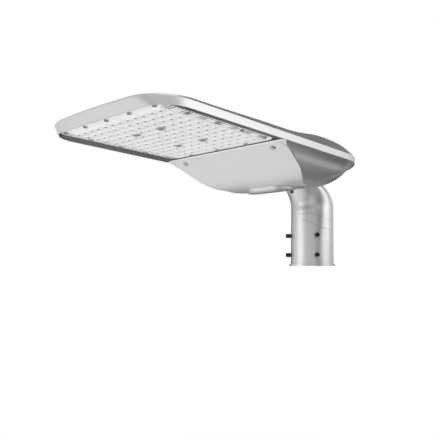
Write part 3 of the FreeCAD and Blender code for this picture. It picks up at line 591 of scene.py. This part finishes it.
def smooth_copy(name):
    """Merged, smoothly shaded copy of a solid, in its place."""
    mesh = nodes[name].data.copy()
    piece = bpy.data.objects.new(name + "_skin", mesh)
    bpy.context.scene.collection.objects.link(piece)
    bpy.context.view_layer.objects.active = piece
    piece.select_set(True)
    if mesh.has_custom_normals:
        bpy.ops.mesh.customdata_custom_splitnormals_clear()
    bpy.ops.object.mode_set(mode="EDIT")
    bpy.ops.mesh.select_all(action="SELECT")
    bpy.ops.mesh.remove_doubles(threshold=MERGE_DISTANCE)
    bpy.ops.mesh.edges_select_sharp(sharpness=SHARP_TURN)
    bpy.ops.mesh.mark_sharp()
    bpy.ops.object.mode_set(mode="OBJECT")
    piece.select_set(False)
    mesh.polygons.foreach_set("use_smooth", np.ones(len(mesh.polygons), bool))
    mesh.update()
    even = piece.modifiers.new("even_shading", "WEIGHTED_NORMAL")
    even.weight = LARGE_FACES_FIRST
    even.keep_sharp = True
    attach(piece, body_of[name])
    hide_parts(name)
    return piece


for name in SMOOTHED:
    skin = smooth_copy(name)
    print(skin.name, len(skin.data.polygons), "faces")

# %% [markdown]
# ## Surfaces from arrays
# A new piece is a sheet of points worked out all at once with arrays: one row of numbers for
# every step one way, one column for every step the other way. Placing the points one by one
# would take a slow loop. Two helpers turn such a sheet into a mesh and hand the mesh to the body
# that it moves with.

# %% Mesh helpers
def sheet_faces(rows, columns):
    """Corner numbers of the quads of a rows by columns sheet. Point i, j has the number
    i times columns plus j, and its quad goes on to i + 1, to both plus 1, and to j + 1."""
    i, j = np.meshgrid(np.arange(rows - 1), np.arange(columns - 1), indexing="ij")
    first = (i * columns + j).ravel()
    return np.stack([first, first + columns, first + columns + 1, first + 1], 1)


def new_piece(name, points, faces, material, body):
    """Smooth mesh object from an array of points and an array of quads, riding on a body."""
    mesh = bpy.data.meshes.new(name)
    mesh.from_pydata(points.tolist(), [], faces.tolist())
    mesh.polygons.foreach_set("use_smooth", np.ones(len(mesh.polygons), bool))
    mesh.materials.append(material)
    mesh.update()
    piece = bpy.data.objects.new(name, mesh)
    bpy.context.scene.collection.objects.link(piece)
    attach(piece, body)
    return piece


print("a sheet of 3 by 3 points has", len(sheet_faces(3, 3)), "quads")

# %% [markdown]
# ## The lens plate
# One clear moulding covers all the LEDs: a flange round the edge, a step down to the field, a
# small lens under every LED, and ribs across the flange. Its lenses could be separate domes, but
# the real plate is one skin. So it is written as one height for every point of its underside,
# and closed by a flat back.

# %% Outline of the plate
PLATE_STEPS = 191
FLANGE_ABOVE, FIELD_ABOVE, BACK_ABOVE = 3.4 * MM, 2.2 * MM, 5.4 * MM
TINY = 1e-12


def round_corners(x, y, half_x, half_y, corner):
    """Move points of a rectangle so that its corners are round: inside each corner square a
    point keeps its larger offset as its distance from the corner's centre."""
    cx, cy = half_x - corner, half_y - corner
    dx, dy = np.abs(x) - cx, np.abs(y) - cy
    inside = (dx > 0) & (dy > 0)
    reach = np.maximum(dx, dy)
    length = np.hypot(dx, dy) + TINY
    nx = np.where(inside, cx + dx / length * reach, np.abs(x))
    ny = np.where(inside, cy + dy / length * reach, np.abs(y))
    return nx * np.sign(x), ny * np.sign(y)


def edge_distance(x, y, half_x, half_y, corner):
    """Distance inwards from the rounded outline. With dx and dy the offsets past a corner's
    centre, it is the radius less the length of their positive parts, and less the larger of
    them where both are negative."""
    dx, dy = np.abs(x) - (half_x - corner), np.abs(y) - (half_y - corner)
    outside = np.hypot(np.maximum(dx, 0), np.maximum(dy, 0))
    return corner - outside - np.minimum(np.maximum(dx, dy), 0)


def smooth_step(t):
    """0 below 0, 1 above 1, and a soft curve between: 3 t squared less 2 t cubed."""
    t = np.clip(t, 0, 1)
    return t * t * (3 - 2 * t)


print("plate of", PLATE_STEPS, "by", PLATE_STEPS, "points")

# %% Height of the underside
FIELD_INSET, STEP_WIDTH = 15.0 * MM, 1.4 * MM
DOME_X, DOME_Y, DOME_EDGE, DOME_DEEP = 0.34, 0.38, 1.25, 1.3 * MM
DIMPLE_X, DIMPLE_Y, DIMPLE_DEEP = 0.004, 0.012, 1.0 * MM
RIB_PITCH, RIB_STEEP, RIB_DEEP = 5.0 * MM, 2.0, 0.7 * MM
RIB_START, RIB_GAP = 3.0 * MM, 1.0 * MM


def lens_height(x, y):
    """Depth of the underside below the flange. It is a soft step at the field's edge, plus on
    the field a dome less a dimple over every cell, plus on the flange a clipped cosine rib."""
    inwards = edge_distance(x, y, (LENS_X1 - LENS_X0) / 2, LENS_HALF, LENS_CORNER)
    step = smooth_step((inwards - FIELD_INSET) / STEP_WIDTH)
    u = (x / LED_PITCH + LED_COUNT / 2) % 1 - 0.5
    v = (y / LED_PITCH + LED_COUNT / 2) % 1 - 0.5
    field = (np.abs(x) < FIELD_HALF) & (np.abs(y) < FIELD_HALF)
    dome = smooth_step(DOME_EDGE - np.hypot(u / DOME_X, v / DOME_Y)) * DOME_DEEP
    dimple = np.exp(-(u ** 2 / DIMPLE_X + v ** 2 / DIMPLE_Y)) * DIMPLE_DEEP
    lenses = np.where(field, dome - dimple, 0.0)
    nose_or_tail = np.abs(x) / (LENS_X1 - LENS_X0) > np.abs(y) / (2 * LENS_HALF)
    along = np.where(nose_or_tail, y, x)
    rib = np.clip(np.cos(2 * np.pi * along / RIB_PITCH) * RIB_STEEP, 0, 1) * RIB_DEEP
    on_flange = (inwards > RIB_START) & (inwards < FIELD_INSET - RIB_GAP)
    return step * (FLANGE_ABOVE - FIELD_ABOVE) + lenses + np.where(on_flange, rib, 0.0)


def lens_plate():
    """Underside and flat back on the same grid, joined by a wall round the edge."""
    half_x = (LENS_X1 - LENS_X0) / 2
    s = np.linspace(-1, 1, PLATE_STEPS)
    x, y = np.meshgrid(s * half_x, s * LENS_HALF, indexing="ij")
    x, y = round_corners(x, y, half_x, LENS_HALF, LENS_CORNER)
    low = RIM_Z + FLANGE_ABOVE - lens_height(x, y)
    back = np.full_like(x, RIM_Z + BACK_ABOVE)
    sheets = [np.stack([x.ravel() + LENS_MIDDLE, y.ravel(), z.ravel()], 1) for z in (low, back)]
    quads = sheet_faces(PLATE_STEPS, PLATE_STEPS)
    count = x.size
    number = np.arange(count).reshape(x.shape)
    rim = np.concatenate([number[:-1, 0], number[-1, :-1], number[:0:-1, -1], number[0, :0:-1]])
    following = np.roll(rim, -1)
    wall = np.stack([rim, following, following + count, rim + count], 1)
    faces = np.concatenate([quads[:, ::-1], quads + count, wall])
    return in_place(np.concatenate(sheets)), faces


plate_points, plate_faces = lens_plate()
print("lens plate", len(plate_faces), "quads")

# %% [markdown]
# ## Frosty plastic
# Clear plastic with hundreds of small curves over a white board doesn't look clear. It looks
# white, with a dark dash in each lens where the edge of the LED is mirrored, and grey lines where
# the ribs stand. Real glass shading would be slow and full of noise at this size, so those marks
# are drawn by place, on the same pitch as the lenses. The four bosses of the centre screws are
# grey. A faint glow stands in for the light that the board gives back through the plate.

# %% Finish of the lens plate
WHOLE_CELLS = 60.0
DASH_X, DASH_Y = 115.0, 30.0
HATCH_PITCH, HATCH_SHARE = 6.0 * MM, 0.42
LINE_PITCH, LINE_SHARE = 5.5 * MM, 0.38
BOSS_X, BOSS_Y, BOSS_RADIUS = 41.0 * MM, 27.0 * MM, 8.0 * MM
BOSS_SHIFT = 375.0 * MM - LENS_MIDDLE
FROST_TONES = (0.88, 0.88, 0.87, 1.0), (1.0, 1.0, 0.99, 1.0)
LINE_TONE, DASH_TONE, BOSS_TONE = grey(0.22), grey(0.05), grey(0.42)


def within_cell(value, pitch):
    """How far a place is through its cell, from 0 to 1. Whole cells keep the number positive."""
    return (value * (1 / pitch) + WHOLE_CELLS).fraction()


def lens_clear():
    """Frosty tone, then lines on the two long borders, dashes in the field and round bosses.
    A dash is where DASH_X u squared plus DASH_Y v squared is under 1, from the cell's middle."""
    finish = Finish("lens_clear")
    flow = finish.noise(260.0, 2.0)
    x, y, _ = level_axes(finish)
    x = x - LENS_MIDDLE
    u, v = within_cell(x, LED_PITCH) - 0.5, within_cell(y, LED_PITCH) - 0.5
    dash = (u * u * DASH_X + v * v * DASH_Y) < 1.0
    field = (x.size() < FIELD_HALF) * (y.size() < FIELD_HALF)
    near = (y > FIELD_HALF) * (x.size() < FIELD_HALF) * (within_cell(x, HATCH_PITCH) < HATCH_SHARE)
    far = (y < -FIELD_HALF) * (within_cell(y, LINE_PITCH) < LINE_SHARE)
    frost = finish.blend(flow, *FROST_TONES)
    lined = finish.blend(near + far, frost, LINE_TONE)
    dashed = finish.blend(dash * field, lined, DASH_TONE)
    off_x, off_y = (x - BOSS_SHIFT).size() - BOSS_X, y.size() - BOSS_Y
    boss = (off_x * off_x + off_y * off_y) < BOSS_RADIUS ** 2
    tone = finish.blend(boss, dashed, BOSS_TONE)
    return finish.surface(Base_Color=tone, Roughness=0.22 + flow * 0.15, Alpha=0.94, IOR=1.49,
                          Emission_Color=tone, Emission_Strength=0.26)


plate = new_piece("lens_plate_optics", plate_points, plate_faces, lens_clear(), "head")
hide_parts("lens_plate")
print(plate.name, "rides on the head")

# %% [markdown]
